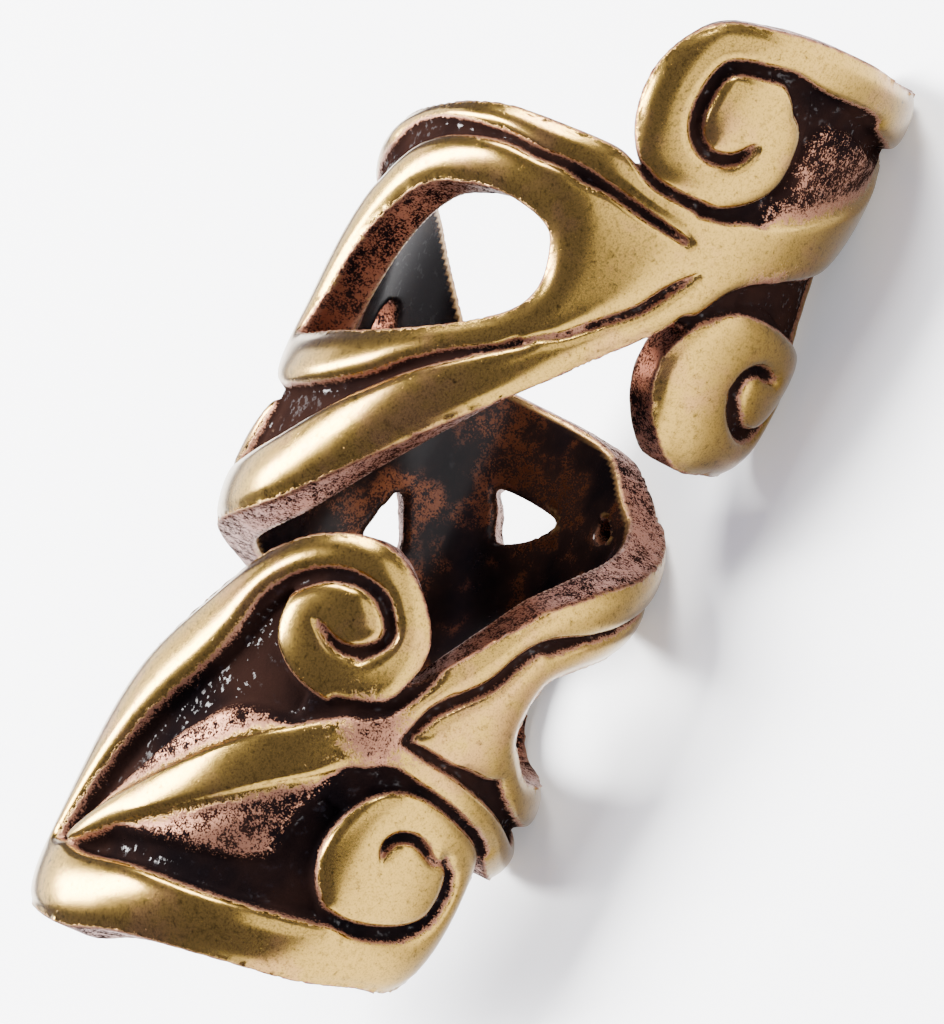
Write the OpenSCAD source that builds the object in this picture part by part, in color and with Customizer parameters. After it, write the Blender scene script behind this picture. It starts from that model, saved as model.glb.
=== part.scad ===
// Hair bead: an open spiral band, cast in one piece, that winds one and a half times round a lock of hair.
// Each end is a heart-shaped leaf whose rims curl into two volutes. Behind each leaf the band forks
// round an open eye, and the back between the two eyes is pierced.
//
// Places on the wall are given unrolled: an angle round the bore in degrees, 0 at the front and rising
// to the right, and a height in mm along the bore. The band passes the front twice, so angles run
// from about -95 to 490. Levels are radial and in mm, 0 at the tops of the ridges.

/* [Band] */
// Outer radius half way up the bead
outer_r = 7.27; // [5:0.01:12]
// Growth of the radius for each mm of height
taper = 0.032; // [0:0.001:0.08]
// Wall under the tops of the ridges
wall = 1.85; // [1.2:0.05:3]
// Depth of the open grooves between ridges
groove_depth = 0.6; // [0.3:0.05:1]
// Depth of the hollows in the leaves
hollow_depth = 0.8; // [0.3:0.05:1.1]
// How far the lower lobe of the upper leaf springs outward
lobe_spring = 0.6; // [0:0.05:1]
// How far the lower leaf's tip springs outward
lower_tip_spring = 0.4; // [0:0.05:1]
// How far the upper leaf's tip springs outward
upper_tip_spring = 0.2; // [0:0.05:1]

/* [Ridges] */
// Fall from the top of a ridge to its edge
edge_drop = 0.38; // [0.1:0.01:0.8]
// Width of the rounding at each edge of a ridge
edge_round = 0.42; // [0.1:0.01:0.8]
// Steps between two rows of a ridge's table
ridge_steps = 3; // [1:1:4]

/* [Resting place] */
// Angle round the bore of the side that the bead lies on
rest_side = 120; // [100:1:140]
// Share of the radius that is left where that side is pressed flat
rest_flat = 0.965; // [0.93:0.005:1]
// Way along the surface that centres the bead over the origin
rest_along = 7.82; // [-20:0.01:20]
// Way across the surface that centres the bead over the origin
rest_across = 0.21; // [-20:0.01:20]
// Height of the bore's own origin above the surface
rest_height = 7.249; // [-20:0.001:40]

/* [Hidden] */
brass = [0.71, 0.6, 0.36];
mid_height = -7.66;
rest_turn = 90 - rest_side;
rest_lean = 90 - atan(rest_flat * taper);
flat_blend = 0.05;
lobe_back = 110;
lobe_end = 140;
mm_per_degree = outer_r * PI / 180;
root_depth = wall + 0.5;
bore_sides = 56;
bore_span = [-30, 14];
upper_neck_depth = groove_depth + 0.06;
lower_neck_depth = groove_depth + 0.08;
coil_depth = groove_depth - 0.06;
disc_sides = 16;

// The ridges' tables: angle, height, half width.

upper_leaf_top_rim = [
    [127, 9.4, 0.45], [118, 9.5, 0.85], [105, 9.45, 1.0], [90, 9.4, 1.0], [78, 9.45, 0.9],
    [65, 9.65, 0.8], [50, 9.85, 0.75], [35, 9.85, 0.7]];
upper_leaf_low_rim = [
    [127, 9.4, 0.45], [121, 7.6, 0.8], [114, 5.6, 0.95], [107, 3.4, 1.0], [100, 1.2, 1.0],
    [93, -0.8, 1.0], [82, -2.5, 0.95]];
lower_leaf_top_rim = [
    [-94, -25.7, 0.5], [-90, -24.1, 1.0], [-83.5, -21.6, 1.15], [-74, -18.8, 1.25], [-64.7, -17, 1.2],
    [-54.4, -15.2, 1.15], [-43.3, -13, 0.85], [-30, -11.35, 0.62]];
lower_leaf_low_rim = [
    [-94, -25.7, 0.5], [-80, -24.95, 1.15], [-60, -24.8, 1.2], [-40, -24.2, 1.1], [-20, -23.8, 1.0],
    [0, -23.4, 0.97], [20, -23, 1.0]];

// The volutes' tables: turn from where the rim comes in, reach from the centre, half width.

upper_leaf_top_coil = [
    [0, 2.55, 0.66], [45, 2.75, 0.8], [90, 2.5, 0.87], [135, 2.65, 0.88], [180, 2.3, 0.68],
    [225, 1.85, 0.85], [265, 1.25, 0.95]];
upper_leaf_low_coil = [
    [0, 2.0, 0.85], [45, 2.6, 1.12], [90, 3.2, 1.45], [135, 2.75, 1.1], [180, 1.8, 0.6],
    [225, 1.75, 0.8], [265, 1.25, 0.85]];
lower_leaf_top_coil = [
    [0, 2.05, 0.6], [45, 2.22, 0.5], [90, 2.6, 0.68], [135, 2.45, 0.76], [180, 1.88, 0.68],
    [225, 1.7, 0.75], [265, 1.3, 0.8]];
lower_leaf_low_coil = [
    [0, 2.7, 1.0], [45, 3.1, 1.05], [90, 2.95, 0.75], [135, 2.6, 0.66], [180, 2.25, 0.56],
    [225, 2.65, 0.8], [265, 2.4, 1.1], [300, 1.8, 1.15]];

// The volutes: centre angle, centre height, direction the rim comes in at, way it turns, boss radius.
upper_top_volute = [22, 7.1, 90, 1, 1.35];
upper_low_volute = [69, -0.9, -90, -1, 1.18];
lower_top_volute = [-14, -12.7, 90, -1, 1.0];
lower_low_volute = [37, -19.8, -90, 1, 1.4];

// The ribs run from the eyes' webs through the necks to the leaves' tips.
upper_rib = [
    [-3, 0.3, 2.35], [8, 1.0, 2.05], [16, 1.35, 1.5], [23, 1.9, 1.25], [30, 2.3, 1.6], [36, 2.8, 1.35],
    [44, 3.3, 1.02], [55, 3.9, 0.92], [65, 4.4, 1.0], [75, 4.9, 1.05], [88, 5.7, 0.95], [100, 6.7, 0.8],
    [110, 7.74, 0.6], [119, 8.7, 0.35], [124, 9.2, 0.2]];
lower_rib = [
    [46, -13.3, 2.2], [38, -13.7, 1.75], [30, -14.4, 1.15], [24, -14.8, 0.8], [18, -15.2, 1.2],
    [12, -15.6, 1.12], [4, -16.15, 0.85], [-5, -16.95, 0.85], [-15, -17.85, 0.82], [-25, -18.8, 0.8],
    [-35, -19.8, 0.7], [-45, -20.8, 0.6], [-55, -21.75, 0.48], [-65, -22.75, 0.33], [-71, -23.3, 0.2]];

// The rings round the two eyes.
upper_eye = [
    [-3.5, -1.2, 0.48], [-8, -2, 0.46], [-15, -2.75, 0.5], [-25, -3.6, 0.56], [-35, -4.35, 0.66],
    [-45, -5, 0.78], [-55, -5.5, 0.88], [-65, -5.9, 0.92], [-75, -6.2, 0.92], [-84, -6.25, 0.85],
    [-90, -5.7, 0.7], [-87, -4.5, 0.75], [-81, -2.9, 0.75], [-74, -1.4, 0.75], [-66, -0.1, 0.75],
    [-58, 0.9, 0.75], [-50, 1.6, 0.75], [-40, 2.05, 0.75], [-30, 2.35, 0.75], [-20, 2.4, 0.72],
    [-10, 2.32, 0.68], [-4, 1.6, 0.58], [-2, -0.1, 0.5]];
lower_eye = [
    [44.5, -13, 0.6], [47, -11.7, 0.5], [54, -11.1, 0.5], [62, -10.6, 0.55], [72, -10.1, 0.65],
    [82, -9.7, 0.72], [92, -9.3, 0.75], [104, -9, 0.75], [116, -8.85, 0.75], [126, -8.95, 0.72],
    [133.5, -9.8, 0.7], [136.5, -11.2, 0.7], [135.5, -12.7, 0.72], [131, -14, 0.75], [124, -14.95, 0.75],
    [114, -15.6, 0.75], [102, -15.9, 0.75], [90, -16, 0.72], [78, -15.9, 0.65], [68, -15.75, 0.55],
    [60, -15.4, 0.5], [52, -14.75, 0.5], [46.5, -14.2, 0.48]];

// The band's borders, from the lower leaf's neck round the back to the upper leaf's.
top_border = [
    [15, -14.2, 0.42], [20, -13.2, 0.42], [25, -12.45, 0.45], [30, -11.75, 0.5], [36, -10.95, 0.55],
    [42, -10.2, 0.58], [50, -9.6, 0.62], [60, -9, 0.7], [75, -8.3, 0.72], [90, -7.6, 0.7],
    [103, -6.95, 0.65], [115, -6.3, 0.6], [128, -5.6, 0.6], [140, -5.15, 0.6], [155, -5, 0.6],
    [170, -5, 0.6], [185, -4.95, 0.6], [195, -4.6, 0.6], [205, -3.8, 0.6], [215, -2.75, 0.6],
    [225, -1.75, 0.6], [235, -0.8, 0.6], [245, -0.1, 0.58], [255, 0.45, 0.55], [270, 1.3, 0.52],
    [285, 2.1, 0.5], [300, 2.8, 0.46], [312, 3.35, 0.45], [325, 3.8, 0.46], [340, 3.95, 0.52],
    [355, 4.02, 0.56], [362, 3.87, 0.5], [371, 3.6, 0.42], [380, 3.45, 0.42]];
bottom_border = [
    [18, -16.1, 0.4], [30, -16.2, 0.38], [40, -16.45, 0.38], [50, -16.75, 0.42], [60, -17.2, 0.52],
    [70, -17.7, 0.6], [80, -18.05, 0.65], [95, -18.1, 0.65], [112, -17.6, 0.65], [130, -16.95, 0.65],
    [150, -16.1, 0.65], [170, -15.25, 0.65], [190, -14.35, 0.68], [210, -13.45, 0.72], [230, -12.65, 0.78],
    [250, -11.95, 0.85], [270, -11.3, 0.95], [285, -10.75, 1.0], [300, -9.85, 1.1], [310, -8.95, 1.12],
    [320, -7.8, 1.12], [330, -6.6, 1.08], [340, -5.4, 1.0], [350, -4.25, 0.85], [360, -3.1, 0.7],
    [370, -1.9, 0.55], [378, -0.85, 0.5], [385, 0.2, 0.55], [389, 1.0, 0.5]];

// Two thin ridges join the eyes across the back.
upper_strand = [
    [268, -5.8, 0.55], [255, -6.35, 0.55], [235, -6.7, 0.55], [215, -6.8, 0.55], [195, -6.7, 0.55],
    [175, -6.45, 0.52], [158, -6.45, 0.48], [147, -6.85, 0.45], [140, -7.6, 0.45], [132, -8.7, 0.5]];
lower_strand = [
    [281, -7.9, 0.15], [273, -9.15, 0.42], [262, -10, 0.5], [245, -10.25, 0.52], [225, -10.75, 0.55],
    [205, -11.75, 0.55], [185, -12.3, 0.55], [165, -12.5, 0.55], [148, -12.4, 0.52], [137, -12.2, 0.5]];

// The floors of the leaves and necks, left to right: top angle, top height, bottom angle, bottom height.
upper_leaf_floor = [
    [20, 4.2, 33, 0.7], [18, 6, 40, 0], [24, 8.5, 50, -1.5], [42, 9.5, 72, -2.3],
    [65, 9.6, 88, -1.8], [85, 9.4, 100, 1.4], [105, 9.4, 112, 5.2], [125, 9.3, 125, 8.9]];
lower_leaf_floor = [
    [-92, -25.2, -92, -25.6], [-82, -21, -75, -25], [-64, -17, -50, -24.5], [-44, -13.2, -20, -23.8],
    [-22, -11.6, 12, -23.1], [-2, -12.3, 34, -21.3], [7, -13.6, 30, -18.3], [14, -14.5, 18, -16.4]];

upper_neck_floor = [
    [-1, 4.1, -1, -2.2], [10, 4.4, 10, -1.2], [22, 4.8, 22, 0.2], [34, 4.9, 34, 0.4],
    [48, 5, 48, 0.9]];
lower_neck_floor = [
    [-14, -14.8, -14, -18.1], [0, -14.6, 0, -18.2], [12, -13.8, 12, -18.4], [24, -12.8, 24, -17.8],
    [35, -11.6, 35, -17.6], [46, -10.6, 46, -17.8]];

// The holes through the back: angle, height of each corner.
holes = [
    [[200, -8.9], [205.5, -9.7], [207, -10.9], [190.5, -10.9], [194.5, -9.7]],
    [[144.5, -7.5], [168.5, -7.4], [166, -8.1], [162, -9], [157, -8.9], [149.5, -8.4]],
    [[112, -7.4], [119, -6.9], [130, -6.55], [138, -6.4], [141, -6.8], [135, -7.3], [125, -7.75], [115, -7.9]],
    [[228, -4.5], [233, -3.5], [239, -3.1], [246, -3.3], [248.5, -4.3], [245, -5.3], [235, -5.5]]];

// Position of a place on the wall: angle, height and level.
function ease(from, to, x) =
    let(t = min(1, max(0, (x - from) / (to - from))))
    t * t * (3 - 2 * t);
function spring(angle, height) =
    lobe_spring * ease(35, 85, angle) * ease(lobe_end, lobe_back, angle) * ease(4, -1, height) * ease(-6, -2, height)
    + lower_tip_spring * ease(-48, -82, angle) * ease(-11.5, -17, height)
    + upper_tip_spring * ease(98, 122, angle) * ease(3.5, 8, height) * ease(160, 140, angle);
function skin(angle, height) =
    let(cone = outer_r + taper * (height - mid_height),
        free = cone + spring(angle, height),
        pressed = rest_flat * cone / max(0.5, cos(angle - rest_side)),
        near = max(0, flat_blend - abs(free - pressed)))
    min(free, pressed) - near * near / (4 * flat_blend);
function on_wall(place, level) =
    let(r = skin(place[0], place[1]) + level)
    [r * sin(place[0]), -r * cos(place[0]), place[1]];

// A curve through the rows of a table, as Catmull and Rom draw it.
function between(a, b, c, d, t) =
    (2 * b + (c - a) * t + (2 * a - 5 * b + 4 * c - d) * t * t + (3 * b - a - 3 * c + d) * t * t * t) / 2;
function curve(rows, steps = ridge_steps) =
    let(last = len(rows) - 1)
    [for (i = [0 : last - 1], k = [0 : steps - 1])
        between(rows[max(i - 1, 0)], rows[i], rows[i + 1], rows[min(i + 2, last)], k / steps),
     rows[last]];

// The rows of a volute as places on the wall: the reach swings round the centre.
function coil(volute, rows) = [for (row = rows)
    let(direction = volute[2] + volute[3] * row[0])
    [volute[0] + row[1] * cos(direction) / mm_per_degree, volute[1] + row[1] * sin(direction), row[2]]];

// The unit vector across a ridge at each station, from its neighbours.
function flat(place) = [place[0] * mm_per_degree, place[1]];
function across(before, after) =
    let(along = flat(after) - flat(before))
    [-along[1], along[0]] / norm(along);
function aside(place, side, offset) = [place[0] + side[0] * offset / mm_per_degree, place[1] + side[1] * offset];

// One cross-section of a ridge: foot, edge, top, and the same back down.
function section(place, side) =
    let(half = place[2], inset = min(edge_round, half * 2 / 3))
    [for (corner = [[-half, -root_depth], [-half, -edge_drop], [inset - half, 0],
            [half - inset, 0], [half, -edge_drop], [half, -root_depth]])
        on_wall(aside(place, side, corner[0]), corner[1])];

module ridge(stations, closed = false) {
    n = len(stations);
    sections = [for (i = [0 : n - 1])
        let(before = closed ? (i + n - 1) % n : max(i - 1, 0), after = closed ? (i + 1) % n : min(i + 1, n - 1))
        section(stations[i], across(stations[before], stations[after]))];
    corners = len(sections[0]);
    for (i = [0 : closed ? n - 1 : n - 2])
        hull() polyhedron(concat(sections[i], sections[(i + 1) % n]), tube_faces(corners));
}

// Faces of a tube between two rings of n points.
function tube_faces(n) = [
    [for (k = [0 : n - 1]) k], [for (k = [n - 1 : -1 : 0]) k + n],
    for (k = [0 : n - 1]) [k, k + n, (k + 1) % n + n, (k + 1) % n]];

// A sheet between two rows of places, from the bore's wall up to a level.
module sheet(tops, bottoms, level, parts) {
    n = len(tops);
    width = parts + 1;
    function grid(depth) = [for (i = [0 : n - 1], j = [0 : parts])
        on_wall(tops[i] + (bottoms[i] - tops[i]) * j / parts, depth)];
    outside = n * width;
    function quad(a, b, c, d) = [[a, b, c], [a, c, d]];
    faces = [
        for (i = [0 : n - 2], j = [0 : parts - 1]) let(a = i * width + j)
            each quad(a + width, a + width + 1, a + 1, a),
        for (i = [0 : n - 2], j = [0 : parts - 1]) let(a = outside + i * width + j)
            each quad(a, a + 1, a + width + 1, a + width),
        for (i = [0 : n - 2]) let(a = i * width)
            each quad(a, a + outside, a + width + outside, a + width),
        for (i = [0 : n - 2]) let(a = i * width + parts)
            each quad(a + width, a + width + outside, a + outside, a),
        for (j = [0 : parts - 1])
            each quad(j + 1, j + 1 + outside, j + outside, j),
        for (j = [0 : parts - 1]) let(a = (n - 1) * width + j)
            each quad(a, a + outside, a + 1 + outside, a + 1)];
    polyhedron(concat(grid(level), grid(-root_depth)), faces);
}

// A plug of the wall's thickness and more, with the given outline, to pierce a sheet with.
module plug(outline) {
    n = len(outline);
    centre = [for (k = [0 : 1]) [for (p = outline) p[k]] * [for (p = outline) 1 / n]];
    points = concat(
        [for (p = outline) on_wall(p, 1)], [on_wall(centre, 1)],
        [for (p = outline) on_wall(p, -wall - 1.5)], [on_wall(centre, -wall - 1.5)]);
    below = n + 1;
    faces = [for (i = [0 : n - 1]) let(j = (i + 1) % n)
        each [[n, i, j], [n + below, j + below, i + below], [i, i + below, j + below], [i, j + below, j]]];
    polyhedron(points, faces);
}

// A low round boss: the hull of its foot and its crown.
module boss(place, reach) {
    function round(r, level) = [for (k = [0 : disc_sides - 1])
        on_wall([place[0] + r * cos(k * 360 / disc_sides) / mm_per_degree, place[1] + r * sin(k * 360 / disc_sides)], level)];
    hull() {
        polyhedron(concat(round(reach, -wall / 2), round(reach, -edge_drop)), tube_faces(disc_sides));
        polyhedron(concat(round(reach * 0.75, -edge_drop), round(reach * 0.75, -edge_drop / 5)), tube_faces(disc_sides));
    }
}

// The closed floor under a volute, so its spiral groove has a bottom.
module volute_floor(place, reach) {
    rings = 3;
    function disc(level) = [on_wall(place, level), for (i = [1 : rings], k = [0 : disc_sides - 1])
        on_wall([place[0] + reach * i / rings * cos(k * 360 / disc_sides) / mm_per_degree,
                 place[1] + reach * i / rings * sin(k * 360 / disc_sides)], level)];
    below = 1 + rings * disc_sides;
    function id(i, k) = i == 0 ? 0 : 1 + (i - 1) * disc_sides + k % disc_sides;
    faces = [for (k = [0 : disc_sides - 1])
        each [
            [0, id(1, k + 1), id(1, k)], [below, below + id(1, k), below + id(1, k + 1)],
            for (i = [1 : rings - 1]) each [
                [id(i, k), id(i, k + 1), id(i + 1, k + 1)], [id(i, k), id(i + 1, k + 1), id(i + 1, k)],
                [below + id(i, k), below + id(i + 1, k + 1), below + id(i, k + 1)],
                [below + id(i, k), below + id(i + 1, k), below + id(i + 1, k + 1)]],
            [id(rings, k), id(rings, k + 1), below + id(rings, k + 1)],
            [id(rings, k), below + id(rings, k + 1), below + id(rings, k)]]];
    polyhedron(concat(disc(-coil_depth), disc(-root_depth)), faces);
}

module volute(place, rim, rows, floor_reach) {
    ridge(curve(concat(rim, coil(place, rows))));
    boss(place, place[4]);
    volute_floor(place, floor_reach);
}

module floor_sheet(rows, depth) {
    stations = curve(rows);
    sheet([for (s = stations) [s[0], s[1]]], [for (s = stations) [s[2], s[3]]], -depth, 4);
}

module band_floor() {
    angles = [20 : 9 : 380];
    top_heights = [for (row = top_border) [row[0], row[1]]];
    bottom_heights = [for (row = bottom_border) [row[0], row[1]]];
    tops = [for (a = angles) [a, lookup(a, top_heights)]];
    bottoms = [for (a = angles) [a, lookup(a, bottom_heights)]];
    difference() {
        sheet(tops, bottoms, -groove_depth, 3);
        plug([for (row = upper_eye) [row[0] + 360, row[1]]]);
        plug([for (row = lower_eye) [row[0], row[1]]]);
        for (outline = holes) plug(outline);
    }
}

// The bore widens with the band, so the wall keeps its thickness.
module bore() {
    translate([0, 0, bore_span[0]])
        cylinder(
            h = bore_span[1] - bore_span[0],
            r1 = outer_r - wall + taper * (bore_span[0] - mid_height),
            r2 = outer_r - wall + taper * (bore_span[1] - mid_height),
            $fn = bore_sides);
}

module bead() {
    color(brass)
    translate([rest_along, rest_across, rest_height]) rotate([0, rest_lean, 0]) rotate([0, 0, rest_turn])
    difference() {
        union() {
            band_floor();
            floor_sheet(upper_leaf_floor, hollow_depth);
            floor_sheet(lower_leaf_floor, hollow_depth);
            floor_sheet(upper_neck_floor, upper_neck_depth);
            floor_sheet(lower_neck_floor, lower_neck_depth);
            volute(upper_top_volute, upper_leaf_top_rim, upper_leaf_top_coil, 2.6);
            volute(upper_low_volute, upper_leaf_low_rim, upper_leaf_low_coil, 2.2);
            volute(lower_top_volute, lower_leaf_top_rim, lower_leaf_top_coil, 2.2);
            volute(lower_low_volute, lower_leaf_low_rim, lower_leaf_low_coil, 2.7);
            ridge(curve(upper_rib));
            ridge(curve(lower_rib));
            ridge(upper_eye, closed = true);
            ridge(lower_eye, closed = true);
            ridge(top_border);
            ridge(bottom_border);
            ridge(upper_strand);
            ridge(lower_strand);
        }
        bore();
    }
}

bead();
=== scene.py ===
# A spiral hair bead in antiqued brass, cast in one piece. It lies on its side on a pale floor.
import math

import bpy
import numpy as np
from mathutils import Matrix


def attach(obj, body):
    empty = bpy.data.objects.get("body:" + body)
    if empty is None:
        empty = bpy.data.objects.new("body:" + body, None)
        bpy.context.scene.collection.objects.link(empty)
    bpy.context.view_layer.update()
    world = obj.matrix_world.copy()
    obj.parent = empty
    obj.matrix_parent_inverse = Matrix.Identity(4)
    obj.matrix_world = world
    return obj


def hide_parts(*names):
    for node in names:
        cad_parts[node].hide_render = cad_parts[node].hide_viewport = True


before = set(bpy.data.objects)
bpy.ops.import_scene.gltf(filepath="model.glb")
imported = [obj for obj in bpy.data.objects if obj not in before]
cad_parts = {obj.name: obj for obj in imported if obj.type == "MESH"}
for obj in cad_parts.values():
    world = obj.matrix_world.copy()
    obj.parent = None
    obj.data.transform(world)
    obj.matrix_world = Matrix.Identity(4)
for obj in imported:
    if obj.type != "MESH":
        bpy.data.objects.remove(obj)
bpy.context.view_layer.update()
print("frame loaded")

# The bead's own frame is in mm: the bore runs up Z and the leaves face -Y. restPose lays it down: side is the
# angle that it lies on, flat is the floor's distance as a share of the radius, for as far round as leastCosine
# says, and the last three are the shift.
restPose = {
    "side": 120.0, "flat": 0.965, "leastCosine": 0.5, "along": 7.82, "across": 0.21, "height": 7.249,
}
beadWall = {"outerRadius": 7.27, "taper": 0.032, "midHeight": -7.66, "wall": 1.85, "flatBlend": 0.05}
mmPerDegree = beadWall["outerRadius"] * math.pi / 180


def turnAbout(axis, degrees):  # rotation matrix about Y or Z
    c, s = math.cos(math.radians(degrees)), math.sin(math.radians(degrees))
    rows = {"y": [[c, 0, s], [0, 1, 0], [-s, 0, c]], "z": [[c, -s, 0], [s, c, 0], [0, 0, 1]]}
    return np.array(rows[axis])


# the cone leans until its pressed side is level
lean = 90 - math.degrees(math.atan(restPose["flat"] * beadWall["taper"]))
restTurn = turnAbout("y", lean) @ turnAbout("z", 90 - restPose["side"])
restShift = np.array([restPose["along"], restPose["across"], restPose["height"]])


def laidDown(points):  # from the bead's own frame to the lying one: turned, shifted, then from mm to metres
    return (np.asarray(points) @ restTurn.T + restShift) / 1000


# The camera keeps the photo's view of the bead while the bead lies. It sees from nearest to furthest, in metres.
photoView = {
    "roll": 26.4, "lift": 2.8, "distance": 300.0, "pixelsPerMm": 30.67,
    "originRight": 3.138, "originUp": 7.638, "frameHeight": 1024, "filmHeight": 24.0,
    "nearest": 0.01, "furthest": 20,
}


def cameraBasis(roll, lift):  # rows: the picture's right, up and back directions, in the bead's frame
    roll, lift = math.radians(roll), math.radians(lift)
    # the bead's own axes in the picture: up is turned by roll and tipped by lift, the others follow from it
    up = np.array([math.sin(roll) * math.cos(lift), math.cos(roll) * math.cos(lift), math.sin(lift)])
    right = np.cross(up, [0, 0, 1])
    right /= np.linalg.norm(right)
    front = np.cross(right, up)
    return np.stack([right, -front, up], axis=1)


viewBasis = cameraBasis(photoView["roll"], photoView["lift"])


def fromView(offset):  # a place given as right, up and back of the picture's centre, in metres lying down
    origin = np.array([photoView["originRight"], photoView["originUp"], 0])
    return laidDown((np.asarray(offset, float) - origin) @ viewBasis)


def addCamera():  # focal length is film height times pixels per mm times distance, over the picture's height
    film = bpy.data.cameras.new("camera")
    film.sensor_fit = "VERTICAL"
    film.sensor_height = photoView["filmHeight"]
    focalPixels = photoView["pixelsPerMm"] * photoView["distance"]
    film.lens = focalPixels * photoView["filmHeight"] / photoView["frameHeight"]
    film.clip_start, film.clip_end = photoView["nearest"], photoView["furthest"]
    camera = bpy.data.objects.new("camera", film)
    bpy.context.scene.collection.objects.link(camera)
    place = np.eye(4)
    place[:3, :3] = (viewBasis @ restTurn.T).T
    place[:3, 3] = fromView([0, 0, photoView["distance"]])
    camera.matrix_world = Matrix(place.tolist())
    bpy.context.scene.camera = camera


addCamera()
print("camera placed")

# The ridges of the relief, drawn on the unrolled wall: angle in degrees, height in mm, half width in mm.
ridges = {
    "upperTopRim": [
        (127, 9.4, 0.45), (118, 9.5, 0.85), (105, 9.45, 1.0), (90, 9.4, 1.0), (78, 9.45, 0.9),
        (65, 9.62, 0.8), (50, 9.8, 0.74), (35, 9.78, 0.67)],
    "upperLowRim": [
        (127, 9.4, 0.45), (121, 7.6, 0.8), (116, 5.6, 0.85), (110, 3.4, 0.8), (103.5, 1.2, 0.75),
        (95.5, -0.8, 0.8), (83, -2.5, 0.95)],
    "lowerTopRim": [
        (-94, -25.7, 0.5), (-90, -24.1, 1.0), (-83.5, -21.6, 1.15), (-74, -18.8, 1.25), (-64.7, -17, 1.2),
        (-54.4, -15.2, 1.15), (-43.3, -13, 0.85), (-30, -11.35, 0.62)],
    "lowerLowRim": [
        (-94, -25.7, 0.5), (-80, -24.95, 1.15), (-60, -24.8, 1.2), (-40, -24.2, 1.1), (-20, -23.8, 1.0),
        (0, -23.4, 0.97), (20, -23, 1.0)],
    "upperRib": [
        (-12, 0.4, 2.6), (-3, 0.45, 2.6), (8, 1.0, 2.05), (16, 1.35, 1.5), (23, 1.9, 1.25), (30, 2.3, 1.6),
        (36, 2.8, 1.35), (44, 3.3, 1.02), (55, 3.9, 0.92), (65, 4.4, 1.0), (75, 4.9, 1.05), (88, 5.7, 0.95),
        (100, 6.7, 0.8), (110, 7.7, 0.6), (119, 8.7, 0.35), (124, 9.2, 0.2)],
    "lowerRib": [
        (46, -13.3, 2.2), (38, -13.7, 1.75), (30, -14.4, 1.15), (24, -14.8, 0.8), (18, -15.2, 1.2),
        (12, -15.6, 1.12), (4, -16.15, 0.85), (-5, -16.95, 0.85), (-15, -17.85, 0.82), (-25, -18.8, 0.8),
        (-35, -19.8, 0.7), (-45, -20.8, 0.6), (-55, -21.75, 0.48), (-65, -22.75, 0.33), (-71, -23.3, 0.2)],
    "topBorder": [
        (15, -14.2, 0.42), (20, -13.2, 0.42), (25, -12.45, 0.45), (30, -11.75, 0.5), (36, -10.95, 0.55),
        (42, -10.2, 0.58), (50, -9.6, 0.62), (60, -9, 0.7), (75, -8.3, 0.72), (90, -7.6, 0.7),
        (103, -6.95, 0.65), (115, -6.3, 0.6), (128, -5.6, 0.6), (140, -5.15, 0.6), (155, -5, 0.6),
        (170, -5, 0.6), (185, -4.95, 0.6), (195, -4.6, 0.6), (205, -3.8, 0.6), (215, -2.75, 0.6),
        (225, -1.75, 0.6), (235, -0.8, 0.6), (245, -0.1, 0.58), (255, 0.45, 0.55), (270, 1.3, 0.52),
        (285, 2.1, 0.5), (300, 2.8, 0.46), (312, 3.35, 0.45), (325, 3.8, 0.46), (340, 3.95, 0.52),
        (355, 4.02, 0.56), (362, 3.87, 0.5), (371, 3.6, 0.42), (380, 3.45, 0.42)],
    "bottomBorder": [
        (18, -16.1, 0.4), (30, -16.2, 0.38), (40, -16.45, 0.38), (50, -16.75, 0.42), (60, -17.2, 0.52),
        (70, -17.7, 0.6), (80, -18.05, 0.65), (95, -18.1, 0.65), (112, -17.6, 0.65), (130, -16.95, 0.65),
        (150, -16.1, 0.65), (170, -15.25, 0.65), (190, -14.35, 0.68), (210, -13.45, 0.72),
        (230, -12.65, 0.78), (250, -11.95, 0.85), (270, -11.3, 0.95), (285, -10.75, 1.0),
        (300, -9.85, 1.1), (310, -8.95, 1.12), (320, -7.8, 1.12), (330, -6.6, 1.08), (340, -5.4, 1.0),
        (350, -4.25, 0.85), (360, -3.1, 0.7), (370, -1.9, 0.55), (378, -0.85, 0.5), (385, 0.2, 0.55),
        (389, 1.0, 0.5)],
    "upperStrand": [
        (268, -5.8, 0.55), (255, -6.35, 0.55), (235, -6.7, 0.55), (215, -6.8, 0.55), (195, -6.7, 0.55),
        (175, -6.45, 0.52), (158, -6.45, 0.48), (147, -6.85, 0.45), (140, -7.6, 0.45), (132, -8.7, 0.5)],
    "lowerStrand": [
        (281, -7.9, 0.15), (273, -9.15, 0.42), (262, -10, 0.5), (245, -10.25, 0.52), (225, -10.75, 0.55),
        (205, -11.75, 0.55), (185, -12.3, 0.55), (165, -12.5, 0.55), (148, -12.4, 0.52), (137, -12.2, 0.5)],
}
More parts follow.
